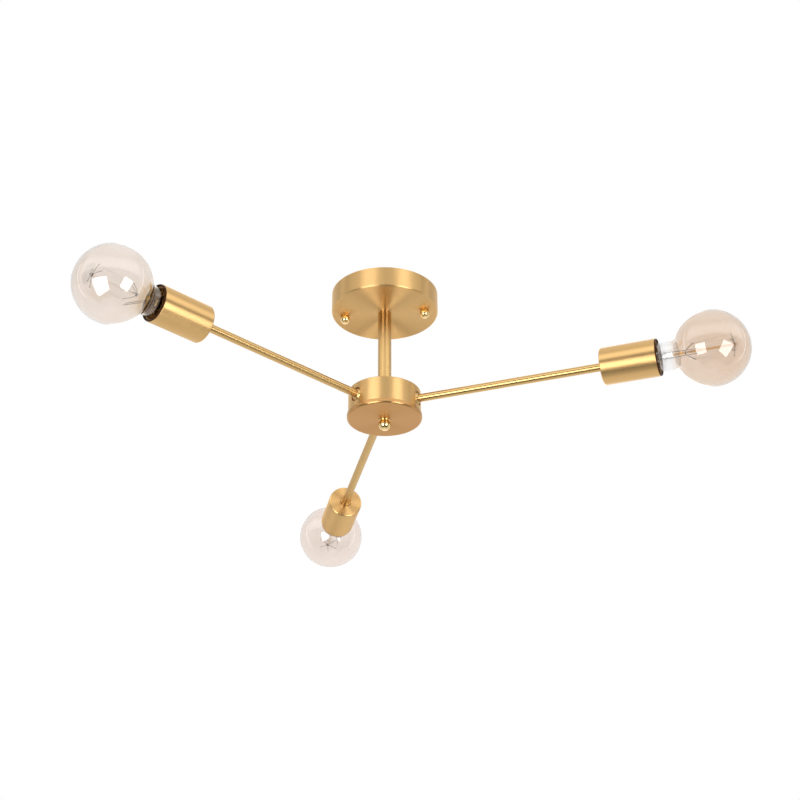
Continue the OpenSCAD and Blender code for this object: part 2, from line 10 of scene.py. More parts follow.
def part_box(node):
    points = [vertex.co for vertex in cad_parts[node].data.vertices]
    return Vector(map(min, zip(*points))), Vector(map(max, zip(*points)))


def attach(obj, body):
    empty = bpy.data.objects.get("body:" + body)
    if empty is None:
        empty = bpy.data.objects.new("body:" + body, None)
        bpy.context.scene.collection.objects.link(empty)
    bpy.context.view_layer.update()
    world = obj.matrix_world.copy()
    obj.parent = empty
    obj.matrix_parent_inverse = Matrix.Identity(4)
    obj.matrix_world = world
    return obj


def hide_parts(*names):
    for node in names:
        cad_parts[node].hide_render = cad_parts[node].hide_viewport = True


bl_info = {
    "name": "Three-light Chandelier",
    "version": (1, 0, 0),
    "blender": (4, 5, 0),
    "location": "3D View > Sidebar > Chandelier",
    "description": "Finishes, cups, lampholders, lamps and studio of a three-light chandelier",
    "category": "Object",
}

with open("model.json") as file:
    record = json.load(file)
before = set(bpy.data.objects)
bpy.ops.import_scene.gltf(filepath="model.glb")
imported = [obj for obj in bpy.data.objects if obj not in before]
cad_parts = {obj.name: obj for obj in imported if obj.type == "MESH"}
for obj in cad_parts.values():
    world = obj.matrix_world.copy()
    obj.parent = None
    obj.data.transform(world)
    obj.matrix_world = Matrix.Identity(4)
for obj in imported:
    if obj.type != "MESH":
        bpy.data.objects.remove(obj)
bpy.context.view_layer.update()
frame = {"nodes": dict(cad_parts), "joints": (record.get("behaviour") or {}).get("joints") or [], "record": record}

SIDES = ("right", "rear", "left")
MM = 0.001
JOINTS = {joint["name"]: joint for joint in frame["joints"]}


# Where each arm and lamp stands

def arm_axis(side):
    """Unit vector along an arm, away from the hub."""
    return Vector(JOINTS[side + "_lamp_travel"]["axis"]).normalized()


def frame_on_arm(side, origin):
    """Matrix with z along the arm, x downwards and y level across it."""
    along = arm_axis(side)
    across = Vector((-along.y, along.x, 0)).normalized()
    down = across.cross(along)
    place = Matrix((down, across, along)).transposed().to_4x4()
    place.translation = origin
    return place


def arm_frame(side):
    """Frame of an arm, with its origin at the swivel's centre."""
    return frame_on_arm(side, Vector(JOINTS[side + "_arm_tilt"]["pos_m"]))


def lamp_frame(side):
    """Frame of a lamp, with its origin at the globe's centre."""
    return frame_on_arm(side, Vector(JOINTS[side + "_lamp_turn"]["pos_m"]))


def lamp_distance(side):
    """Distance from the swivel's centre to the globe's centre."""
    return (lamp_frame(side).translation - arm_frame(side).translation).length


def rotation(degrees, axis):
    return Matrix.Rotation(math.radians(degrees), 4, axis)


def thread_pitch():
    """Travel of a lamp for one turn, from the coupled joints."""
    couplings = frame["record"]["behaviour"]["couplings"]
    return abs(couplings[0]["ratio"]) * math.tau


# Sizes and colours

def size_m(name, description, value):
    return FloatProperty(name=name, description=description, default=value, unit="LENGTH")


def size_mm(name, description, value):
    return size_m(name, description, value * MM)


def colour_of(name, description, value):
    return FloatVectorProperty(name=name, description=description, default=value, subtype="COLOR")


def roughness_of(name, description, value):
    return FloatProperty(name=name, description=description, default=value, min=0.05, max=0.8,
                         subtype="FACTOR")


def brightness(name, description, value):
    return FloatProperty(name=name, description=description, default=value, min=0)


class CoverSizes(bpy.types.PropertyGroup):
    diameter: size_mm("Diameter", "Diameter of the hub's cover", 82.6)
    height: size_mm("Height", "Height of the cover's rim", 5.5)
    wall: size_mm("Wall", "Thickness of the cover's rim", 1.2)
    floor: size_mm("Floor", "Thickness of the cover's floor", 1.5)
    roll: size_mm("Rolled edge", "Radius of the cover's rolled edge", 2.5)
    hole: size_mm("Hole", "Diameter of the hole for the rod", 6.4)


class NutSizes(bpy.types.PropertyGroup):
    ball: size_mm("Ball", "Diameter of the ball of a cap nut", 11.4)
    height: size_mm("Height", "Height of a cap nut", 9.2)
    flange: size_mm("Flange", "Diameter of a cap nut's flange", 9.8)
    flange_height: size_mm("Flange height", "Height of a cap nut's flange", 1.7)


class CupSizes(bpy.types.PropertyGroup):
    diameter: size_mm("Diameter", "Diameter of a cup", 40)
    length: size_mm("Length", "Length of a cup", 59)
    wall: size_mm("Wall", "Thickness of a cup's side", 1.3)
    back: size_mm("Back", "Thickness of a cup's turned back", 3)
    edge: size_mm("Edge radius", "Radius of a cup's rounded back edge", 1.7)
    start: size_mm("Start", "Distance from the swivel to a cup's back", 212.3)
    hole: size_mm("Hole", "Diameter of the hole for the arm", 9.4)
    recess: size_mm("Recess", "Diameter of the recess for the arm's collar", 13.4)
    mark_pitch: size_mm("Turning marks", "Pitch of the turned rings on the back", 1.1)
    mark_depth: size_mm("Mark depth", "Depth of the turned rings on the back", 0.06)


class HolderSizes(bpy.types.PropertyGroup):
    body: size_mm("Body", "Diameter of the lampholder inside the cup", 36.8)
    start: size_mm("Start", "Distance from the swivel to the lampholder", 219.3)
    lip: size_mm("Lip", "Diameter of the lip in front of the cup", 39.4)
    lip_thickness: size_mm("Lip thickness", "Thickness of the lip", 1.6)
    mouth: size_mm("Mouth", "Inner diameter of the mouth", 35.8)
    shoulder: size_mm("Shoulder", "Distance from the swivel to the mouth's floor", 257.3)
    floor: size_mm("Floor", "Distance from the swivel to the inner floor", 228.3)


class LampSizes(bpy.types.PropertyGroup):
    globe: size_mm("Globe", "Diameter of a globe", 80)
    neck: size_mm("Neck", "Diameter of the glass neck", 31)
    glass: size_mm("Glass", "Thickness of the glass", 0.8)
    fillet: size_mm("Neck fillet", "Radius between the globe and its neck", 6)
    length: size_mm("Length", "Overall length of a lamp", 122)
    cap_height: size_mm("Cap height", "Height of the screw cap and its contact", 25)
    crest: size_mm("Thread crest", "Diameter over the cap's thread", 26.1)
    root: size_mm("Thread root", "Diameter at the root of the cap's thread", 24.5)
    wire: size_mm("Support wire", "Diameter of the support wires", 0.42)
    filament: size_mm("Filament", "Diameter of the filament", 0.08)
    steps: IntProperty(name="Steps", description="Number of faces round a globe",
                       default=96, min=24, max=192)


class Finishes(bpy.types.PropertyGroup):
    brass: colour_of("Brushed brass", "Colour of the brushed brass", (0.80, 0.515, 0.214))
    cover: colour_of("Cover brass", "Colour of the hub's cover", (0.62, 0.345, 0.133))
    tube: colour_of("Tube brass", "Colour of the stem and the arms", (0.69, 0.45, 0.182))
    gold: colour_of("Polished gold", "Colour of the nuts and the finial", (0.95, 0.70, 0.33))
    steel: colour_of("Zinc steel", "Colour of the hidden steel parts", (0.62, 0.63, 0.66))
    holder: colour_of("Lampholder", "Colour of the lampholder", (0.045, 0.016, 0.006))
    amber_right: colour_of("Right glass", "Tint of the right globe", (0.88, 0.767, 0.668))
    amber_rear: colour_of("Rear glass", "Tint of the rear globe", (0.93, 0.857, 0.808))
    amber_left: colour_of("Left glass", "Tint of the left globe", (0.925, 0.866, 0.82))
    roughness: roughness_of("Brushing", "Roughness of the brushed brass", 0.42)
    tube_roughness: roughness_of("Tube brushing", "Roughness of the stem and the arms", 0.26)


class StageSizes(bpy.types.PropertyGroup):
    floor_height: size_m("Floor height", "Height of the floor under the ceiling", -2.4)
    floor_size: size_m("Floor size", "Side of the floor", 14.0)
    lamp_width: size_m("Softbox width", "Width of the left softbox", 0.70)
    lamp_height: size_m("Softbox height", "Height of the left softbox", 0.72)
    lamp_level: brightness("Softbox level", "Brightness of the softboxes", 5.0)
    backdrop: brightness("Backdrop level", "Brightness of the studio behind the object", 0.95)
    sides: brightness("Side level", "Brightness of the studio beside the object", 0.58)
    ceiling: brightness("Ceiling level", "Brightness low on the ceiling before the object", 1.55)
    opening: brightness("Dark side level", "Brightness of the studio's dark side", 0.07)
    strips: brightness("Strip level", "Brightness of the narrow strips beside the object", 2.2)


# Colours of the small and hidden parts
CAST_GREY = (0.55, 0.55, 0.56)
# Pale brass-like brown of the ball liners: painted light that brightens the shaded cavity round each swivel ball
LINER_PAINTED_LIGHT_BROWN = (0.5, 0.32, 0.15)
CONTACT_BRASS = (0.78, 0.5, 0.2)
# Golden brown of the mouth's sleeve, given with little metal so that its colour paints the brass sheen where real
# brass would reflect the studio's dark side
SLEEVE_PAINTED_SHEEN_BRASS = (0.62, 0.36, 0.14)
CAP_BRASS = (0.83, 0.62, 0.3)
CAP_BLACK = (0.012, 0.012, 0.016)
SOLDER_GREY = (0.55, 0.55, 0.57)
WIRE_GREY = (0.13, 0.12, 0.11)
FILAMENT_BROWN = (0.45, 0.3, 0.16)


# Node trees

NOISE_RANGE = (0.3, 0.7)  # where most values of a noise lie


class Tree:
    """A material's or world's node tree, written call by call."""

    def __init__(self, owner):
        owner.use_nodes = True
        self.owner = owner
        self.tree = owner.node_tree
        self.tree.nodes.clear()

    def add(self, kind, *values, **settings):
        """Adds a node; values go to its inputs in order and None skips one."""
        node = self.tree.nodes.new("ShaderNode" + kind)
        for name, value in settings.items():
            setattr(node, name, value)
        for socket, value in zip(node.inputs, values):
            self.feed(socket, value)
        return node

    def feed(self, socket, value):
        """Links a socket, or sets it."""
        if isinstance(value, bpy.types.NodeSocket):
            self.tree.links.new(value, socket)
        elif value is not None:
            socket.default_value = value

    def output(self, kind, shader):
        """Joins a shader to an output node and returns the tree's owner."""
        self.add(kind, shader.outputs[0])
        return self.owner

    def math(self, operation, *values):
        return self.add("Math", *values, operation=operation).outputs[0]

    def between(self, kind, first_input, output, factor, low, high):
        """Mixes two values of one kind, given where the node holds that kind."""
        node = self.add("Mix", data_type=kind, clamp_factor=True)
        for index, value in ((0, factor), (first_input, low), (first_input + 1, high)):
            self.feed(node.inputs[index], value)
        return node.outputs[output]

    def mix(self, factor, low, high):
        """Colour between two others."""
        return self.between("RGBA", 6, 2, factor, low, high)

    def blend(self, factor, low, high):
        """Value between two others."""
        return self.between("FLOAT", 2, 0, factor, low, high)

    def ramp(self, value, low, high, from_low, from_high, smooth=False):
        """Value from one range mapped to another."""
        node = self.add("MapRange", value, from_low, from_high, low, high,
                        interpolation_type="SMOOTHSTEP" if smooth else "LINEAR")
        return node.outputs[0]

    def spread(self, noise, low, high):
        """Value that wanders from low to high with a noise."""
        return self.ramp(noise, low, high, *NOISE_RANGE)

    def noise(self, vector, scale, detail):
        node = self.add("TexNoise", noise_dimensions="3D")
        self.feed(node.inputs["Vector"], vector)
        node.inputs["Scale"].default_value = scale
        node.inputs["Detail"].default_value = detail
        return node.outputs[0]

    def in_frame(self, place):
        """Object coordinates seen from a frame."""
        coords = self.add("TexCoord").outputs["Object"]
        return self.add("Mapping", coords, tuple(place.translation), tuple(place.to_euler()),
                        vector_type="TEXTURE").outputs[0]

    def bump(self, height, strength, distance):
        node = self.add("Bump")
        node.inputs["Strength"].default_value = strength
        node.inputs["Distance"].default_value = distance
        self.feed(node.inputs["Height"], height)
        return node.outputs[0]

    def surface(self, **inputs):
        """Joins a principled surface with the given inputs and returns the material."""
        shader = self.add("BsdfPrincipled")
        for name, value in inputs.items():
            self.feed(shader.inputs[name.replace("_", " ")], value)
        return self.output("OutputMaterial", shader)


def rgba(colour):
    return (*colour, 1.0)


def shades(colour, first, second):
    """Two shades of a colour, each a share of its brightness."""
    return rgba(Vector(colour) * first), rgba(Vector(colour) * second)


def turned_metal(name, place, colour, roughness, anisotropy=0.95, mark=1.0, edge_roughness=0.28):
    """Metal brushed round its lathe axis: light spreads across the marks."""
    least_radius, quarter_turn = 1e-5, 0.25
    mark_share, patch_share = 0.7, 0.3
    mark_roughness, flat_roughness = 0.05, 0.05
    flat_slants, edge_slants = (0.93, 0.99), (0.08, 0.3)
    tree = Tree(bpy.data.materials.new(name))
    x, y, z = tree.add("SeparateXYZ", tree.in_frame(place)).outputs[:3]
    radius = tree.math("MAXIMUM", tree.math("SQRT", tree.math(
        "ADD", tree.math("MULTIPLY", x, x), tree.math("MULTIPLY", y, y))), least_radius)
    turn_x, turn_y = tree.math("DIVIDE", x, radius), tree.math("DIVIDE", y, radius)

    def rings(round_axis, along_outline, detail):
        """4-D noise, slow round the axis and fast along the outline, so that no seam shows."""
        node = tree.add("TexNoise", noise_dimensions="4D")
        vector = tree.add("CombineXYZ", tree.math("MULTIPLY", turn_x, round_axis),
                          tree.math("MULTIPLY", turn_y, round_axis),
                          tree.math("MULTIPLY", z, along_outline)).outputs[0]
        tree.feed(node.inputs["Vector"], vector)
        tree.feed(node.inputs["W"], tree.math("MULTIPLY", radius, along_outline))
        node.inputs["Scale"].default_value = 1.0
        node.inputs["Detail"].default_value = detail
        return node.outputs[0]

    marks = rings(round_axis=0.9, along_outline=2600.0, detail=3.0)
    patches = rings(round_axis=1.6, along_outline=60.0, detail=2.0)
    shade = tree.math("ADD", tree.math("MULTIPLY", marks, mark_share),
                      tree.math("MULTIPLY", patches, patch_share))
    tone = tree.mix(tree.spread(shade, 0.0, 1.0), *shades(colour, 0.93, 1.06))
    tangent = tree.add("CombineXYZ", tree.math("MULTIPLY", turn_y, -1.0), turn_x, 0.0).outputs[0]
    tangent = tree.add("Mapping", tangent, None, tuple(place.to_euler()), vector_type="VECTOR")
    tangent = tree.add("VectorTransform", tangent.outputs[0], vector_type="VECTOR",
                       convert_from="OBJECT", convert_to="WORLD").outputs[0]
    # Faces that lie flat across the axis are a little rougher. Handling has polished the
    # rounded edges, whose faces lie neither along nor across it.
    slant = tree.add("VectorMath", tree.add("TexCoord").outputs["Normal"], tuple(place.col[2][:3]),
                     operation="DOT_PRODUCT").outputs["Value"]
    slant = tree.math("ABSOLUTE", slant)
    flat = tree.ramp(slant, 0.0, 1.0, *flat_slants, smooth=True)
    worn = tree.math("SUBTRACT", tree.ramp(slant, 0.0, 1.0, *edge_slants, smooth=True), flat)
    rough = tree.spread(shade, roughness - mark_roughness * mark, roughness + mark_roughness * mark)
    rough = tree.math("ADD", rough, tree.math("MULTIPLY", flat, flat_roughness))
    return tree.surface(
        Base_Color=tone, Metallic=1.0, Roughness=tree.blend(worn, rough, edge_roughness),
        Anisotropic=anisotropy, Anisotropic_Rotation=quarter_turn, Tangent=tangent,
        Normal=tree.bump(marks, strength=0.12 * mark, distance=0.02 * MM))


def tube_metal(name, place, finish):
    """Satin brass of the stem and the arms, brushed too finely for its marks to show."""
    return turned_metal(name, place, finish.tube, finish.tube_roughness, anisotropy=0.97, mark=0.0)


def polished_metal(name, colour, roughness, grain=900.0, bump=0.0, metal=1.0):
    """Smooth metal with faint handling marks."""
    tree = Tree(bpy.data.materials.new(name))
    cloud = tree.noise(tree.add("TexCoord").outputs["Object"], grain, detail=3.0)
    inputs = dict(Base_Color=tree.mix(cloud, *shades(colour, 0.95, 1.04)), Metallic=metal,
                  Roughness=tree.spread(cloud, roughness * 0.8, roughness * 1.2))
    if bump:
        inputs["Normal"] = tree.bump(cloud, bump, distance=0.1 * MM)
    return tree.surface(**inputs)


def moulded(name, colour, roughness, grain=700.0, bump=0.15, shine=0.5):
    """Moulded or fired insulating material."""
    tree = Tree(bpy.data.materials.new(name))
    cloud = tree.noise(tree.add("TexCoord").outputs["Object"], grain, detail=4.0)
    return tree.surface(
        Base_Color=tree.mix(cloud, *shades(colour, 0.85, 1.15)), Specular_IOR_Level=shine,
        Roughness=tree.spread(cloud, roughness * 0.85, roughness * 1.15),
        Normal=tree.bump(cloud, bump, distance=0.05 * MM))


def lamp_glass(name, place, tint, clear_below, amber_above, neck=(0.985, 0.985, 0.99), ior=1.85):
    """Thin blown glass, tinted on the globe, darker at its rim and of the given neck colour towards its neck."""
    rim_shade, rim_narrowness = 0.8, 5.0
    tree = Tree(bpy.data.materials.new(name))
    local = tree.in_frame(place)
    height = tree.add("SeparateXYZ", local).outputs[2]
    coat = tree.ramp(height, 0.0, 1.0, clear_below, amber_above, smooth=True)
    cloud = tree.noise(local, scale=26.0, detail=1.5)
    coat = tree.math("MULTIPLY", coat, tree.spread(cloud, 0.85, 1.1))
    edge = tree.math("POWER", tree.add("LayerWeight").outputs["Facing"], rim_narrowness)
    tone = tree.mix(coat, rgba(neck), tree.mix(edge, *shades(tint, 1.0, rim_shade)))
    return tree.surface(Base_Color=tone, Roughness=0.0, IOR=ior, Transmission_Weight=1.0,
                        Normal=tree.bump(cloud, strength=0.05, distance=0.6 * MM))


# Mesh work

MERGE_DISTANCE = 1e-7
ON_RIM = 1e-6
THREAD_STEPS, THREAD_POINTS = 64, 12  # faces round a thread, and points along one wave of it


def mended(bm):
    """Merges the doubled points of a mesh and turns its faces outwards."""
    bmesh.ops.remove_doubles(bm, verts=bm.verts, dist=MERGE_DISTANCE)
    bmesh.ops.recalc_face_normals(bm, faces=bm.faces)
    return bm


class Outline:
    """Half outline of a turned piece, drawn point by point in the plane y = 0."""

    def __init__(self, radius, height):
        self.bm = bmesh.new()
        self.start = self.end = self.bm.verts.new((radius, 0, height))

    def to(self, radius, height):
        vert = self.bm.verts.new((radius, 0, height))
        self.bm.edges.new((self.end, vert))
        self.end = vert
        return self

    def arc(self, radius, height, degrees, steps):
        """Arc round a centre; a positive angle turns from up to outwards."""
        last = bmesh.ops.spin(self.bm, geom=[self.end], cent=(radius, 0, height), axis=(0, 1, 0),
                              angle=math.radians(degrees), steps=steps)["geom_last"]
        self.end = next(part for part in last if isinstance(part, bmesh.types.BMVert))
        return self

    def close(self):
        self.bm.edges.new((self.end, self.start))
        return self

    def turn(self, steps):
        """Spins the outline once round the z axis and returns the mesh."""
        bmesh.ops.spin(self.bm, geom=self.bm.verts[:] + self.bm.edges[:], cent=(0, 0, 0),
                       axis=(0, 0, 1), angle=math.tau, steps=steps, use_merge=True)
        return mended(self.bm)


def round_rims(bm, *rims):
    """Rounds circular edges, each given by its radius, height, size of the round and steps."""
    for radius, height, size, steps in rims:
        rim = [edge for edge in bm.edges
               if all(abs(math.hypot(vert.co.x, vert.co.y) - radius) < ON_RIM
                      and abs(vert.co.z - height) < ON_RIM for vert in edge.verts)]
        if not rim:
            raise ValueError(f"no rim of radius {radius} at height {height}")
        bmesh.ops.bevel(bm, geom=rim, offset=size, offset_type="OFFSET", segments=steps,
                        profile=0.5, affect="EDGES", material=-1)
    return bm


def thread(start, end, crest, root, wall):
    """Rolled screw thread between two heights: a wave spun with a rise of one pitch a turn."""
    bm = bmesh.new()
    pitch = thread_pitch()
    count = math.ceil((end - start) / pitch + 2) * THREAD_POINTS
    verts = []
    for i in range(count + 1):
        height = (math.floor(start / pitch) - 1 + i / THREAD_POINTS) * pitch
        radius = (crest + root) / 2 + (crest - root) / 2 * math.cos(math.tau * height / pitch)
        verts.append(bm.verts.new((radius, 0, height)))
    edges = [bm.edges.new(pair) for pair in zip(verts, verts[1:])]
    bmesh.ops.spin(bm, geom=verts + edges, cent=(0, 0, 0), axis=(0, 0, 1), angle=math.tau,
                   steps=THREAD_STEPS, dvec=(0, 0, pitch / THREAD_STEPS))
    bmesh.ops.remove_doubles(bm, verts=bm.verts, dist=MERGE_DISTANCE)
    for height, direction in ((start, -1), (end, 1)):
        bmesh.ops.bisect_plane(bm, geom=bm.verts[:] + bm.edges[:] + bm.faces[:], dist=1e-8,
                               plane_co=(0, 0, height), plane_no=(0, 0, direction),
                               clear_outer=True)
    bmesh.ops.recalc_face_normals(bm, faces=bm.faces)
    outwards = sum(face.normal.xy.dot(face.calc_center_median().xy) for face in bm.faces)
    if outwards < 0:
        bmesh.ops.reverse_faces(bm, faces=bm.faces)
    bmesh.ops.solidify(bm, geom=bm.faces[:], thickness=-wall)
    return bm


def joined(*parts):
    """One mesh from several."""
    bm = bmesh.new()
    for part in parts:
        scratch = bpy.data.meshes.new("scratch")
        part.to_mesh(scratch)
        part.free()
        bm.from_mesh(scratch)
        bpy.data.meshes.remove(scratch)
    return bm


def wires(paths, diameter, smooth=True):
    """Mesh of round wires along paths of points, smoothly bent."""
    curve = bpy.data.curves.new("wires", "CURVE")
    curve.dimensions = "3D"
    curve.bevel_depth = diameter / 2
    curve.bevel_resolution = 2
    curve.use_fill_caps = True
    curve.resolution_u = 6
    for path in paths:
        spline = curve.splines.new("NURBS" if smooth else "POLY")
        spline.points.add(len(path) - 1)
        for point, place in zip(spline.points, path):
            point.co = (*place, 1.0)
        if smooth:
            spline.order_u = 3
            spline.use_endpoint_u = True
    holder = bpy.data.objects.new("wires", curve)
    bpy.context.scene.collection.objects.link(holder)
    depsgraph = bpy.context.evaluated_depsgraph_get()
    mesh = bpy.data.meshes.new_from_object(holder.evaluated_get(depsgraph))
    bm = bmesh.new()
    bm.from_mesh(mesh)
    bpy.data.objects.remove(holder)
    bpy.data.curves.remove(curve)
    bpy.data.meshes.remove(mesh)
    return mended(bm)


def make_piece(bm, name, place, body, slot, material, *nodes, sharp=35):
    """Puts a mesh in its place as a piece that rides on a body and stands for CAD nodes."""
    bm.transform(place)
    mesh = bpy.data.meshes.new(name)
    bm.to_mesh(mesh)
    bm.free()
    mesh.materials.append(material)
    mesh.shade_smooth()
    mesh.set_sharp_from_angle(angle=math.radians(sharp))
    piece = bpy.data.objects.new(name, mesh)
    bpy.context.scene.collection.objects.link(piece)
    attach(piece, body)
    if nodes:
        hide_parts(*nodes)


def finish_node(name, material):
    """Gives a CAD node that stays in view its material."""
    node = frame["nodes"][name]
    for slot in node.material_slots:
        slot.material = material


def on_circle(degrees, radius, height):
    """Point on a level circle round the z axis."""
    turn = math.radians(degrees)
    return Vector((radius * math.cos(turn), radius * math.sin(turn), height))


# Operators

class CHANDELIER_OT_hub(bpy.types.Operator):
    """Finishes the canopy, stem, hub, cover, nuts and the steel parts inside them"""
    bl_idname = "chandelier.hub"
    bl_label = "Canopy, Stem and Hub"

    STEEL_NODES = ("ceiling_bracket", "bracket_studs", "earth_screw", "canopy_washer",
                   "canopy_lock_nut", "canopy_nipple", "hub_washer", "hub_lock_nut",
                   "hub_center_post")

    def execute(self, context):
        finish = context.scene.chandelier_finish
        nuts = context.scene.chandelier_nuts
        upright = Matrix.Identity(4)
        finish_node("hub_shell", turned_metal("brushed_brass_hub", upright, finish.brass,
                                              finish.roughness))
        finish_node("canopy_shell", turned_metal("brushed_brass_canopy", upright, finish.brass,
                                                 finish.roughness, edge_roughness=0.34))
        finish_node("stem_tube", tube_metal("satin_brass_stem", upright, finish))
        low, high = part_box("hub_cover")
        place = Matrix.Translation(Vector(((low[0] + high[0]) / 2, (low[1] + high[1]) / 2, low[2])))
        spun = turned_metal("brushed_brass_cover", upright, finish.cover, finish.roughness,
                            anisotropy=0.6)
        make_piece(self.cover_mesh(context.scene.chandelier_cover), "spun_hub_cover", place, "hub",
                   "brushed_brass", spun, "hub_cover", sharp=50)
        gold = polished_metal("polished_gold", finish.gold, roughness=0.07)
        finish_node("hub_finial", gold)
        low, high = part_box("canopy_cap_nuts")
        half = (high[1] - low[1]) / 2
        pair = [self.nut_mesh(nuts, Vector((x, (low[1] + high[1]) / 2, high[2])))
                for x in (low[0] + half, high[0] - half)]
        make_piece(joined(*pair), "canopy_ball_nuts", upright, "hub", "polished_gold", gold,
                   "canopy_cap_nuts", sharp=50)
        steel = polished_metal("zinc_steel", finish.steel, roughness=0.3, grain=350.0, bump=0.08)
        for name in self.STEEL_NODES:
            finish_node(name, steel)
        finish_node("arm_socket_block", polished_metal("cast_aluminium", CAST_GREY, roughness=0.45,
                                                       grain=500.0, bump=0.5))
        return {"FINISHED"}

    def nut_mesh(self, nut, place):
        """Flange, groove and ball that hang from a point under the canopy."""
        groove = 0.9 * MM
        ball, flange, neck = nut.ball / 2, nut.flange / 2, nut.flange / 2 - groove
        middle = ball - nut.height
        top = -nut.flange_height
        lean = math.degrees(math.asin(neck / ball))
        outline = Outline(0, 0).to(flange, 0).to(flange, top).to(neck, top)
        outline.to(neck, middle + math.sqrt(ball ** 2 - neck ** 2))
        bm = round_rims(outline.arc(0, middle, 180 - lean, 28).turn(48),
                        (flange, top, 0.5 * MM, 4), (flange, 0, 0.2 * MM, 2))
        bm.transform(Matrix.Translation(place))
        return bm

    def cover_mesh(self, cover):
        """Dish with a rolled edge and a hole for the rod."""
        outer, inner, hole = cover.diameter / 2, cover.diameter / 2 - cover.wall, cover.hole / 2
        outline = Outline(hole, 0).to(outer, 0).to(outer, cover.height).to(inner, cover.height)
        bm = outline.to(inner, cover.floor).to(hole, cover.floor).close().turn(128)
        return round_rims(bm, (outer, 0, cover.roll, 10), (outer, cover.height, 0.35 * MM, 3))


class CHANDELIER_OT_arms(bpy.types.Operator):
    """Finishes the arm tubes, swivel balls, liners and cup nuts"""
    bl_idname = "chandelier.arms"
    bl_label = "Arms and Swivels"

    BALL_SHADE = 0.95  # the balls' share of the tubes' colour

    def execute(self, context):
        finish = context.scene.chandelier_finish
        ball = polished_metal("polished_ball", Vector(finish.tube) * self.BALL_SHADE, roughness=0.3)
        # The liners' pale brown is painted light in the shaded gap round each ball
        liner_painted_light = moulded("liner_nylon", LINER_PAINTED_LIGHT_BROWN, roughness=0.45, shine=0.2)
        for side in SIDES:
            finish_node(side + "_arm_tube",
                        tube_metal("satin_brass_arm_" + side, arm_frame(side), finish))
            finish_node(side + "_swivel_ball", ball)
            finish_node(side + "_ball_liner", liner_painted_light)
            finish_node(side + "_cup_nut", bpy.data.materials["zinc_steel"])
        return {"FINISHED"}


class CHANDELIER_OT_cups(bpy.types.Operator):
    """Turns the three cups, with the lathe's rings on their backs"""
    bl_idname = "chandelier.cups"
    bl_label = "Cups"

    RING = ((0, 0), (0.3, 1), (0.6, 0.4))  # a ring's points, in shares of its pitch and depth

    def execute(self, context):
        cup = context.scene.chandelier_cups
        finish = context.scene.chandelier_finish
        for side in SIDES:
            place = arm_frame(side)
            metal = turned_metal("brushed_brass_cup_" + side, place, finish.brass,
                                 finish.roughness, anisotropy=0.9)
            make_piece(self.cup_mesh(cup), side + "_turned_cup", place, side + "_arm",
                       "brushed_brass", metal, side + "_cup", sharp=50)
        return {"FINISHED"}

    def cup_mesh(self, cup):
        """Straight cup with a recess for the arm's collar in its ringed back."""
        recess_depth, inner_margin, outer_margin = 1 * MM, 0.6 * MM, 0.3 * MM
        outer, hole, recess = cup.diameter / 2, cup.hole / 2, cup.recess / 2
        back, mouth, inner = cup.start, cup.start + cup.length, outer - cup.wall
        first, last = recess + inner_margin, outer - cup.edge - outer_margin
        count = int((last - first) / cup.mark_pitch)
        floor = back + recess_depth
        outline = Outline(hole, floor).to(recess, floor).to(recess, back)
        for i in range(count):
            at = first + i * cup.mark_pitch
            for share, depth in self.RING:
                outline.to(at + share * cup.mark_pitch, back + depth * cup.mark_depth)
        outline.to(first + count * cup.mark_pitch, back).to(outer, back).to(outer, mouth)
        outline.to(inner, mouth).to(inner, back + cup.back).to(hole, back + cup.back).close()
        return round_rims(outline.turn(96),
                          (outer, back, cup.edge, 8),
                          (outer, mouth, 0.4 * MM, 3),
                          (inner, mouth, 0.3 * MM, 3),
                          (inner, back + cup.back, 1 * MM, 3),
                          (recess, back, 0.2 * MM, 2))


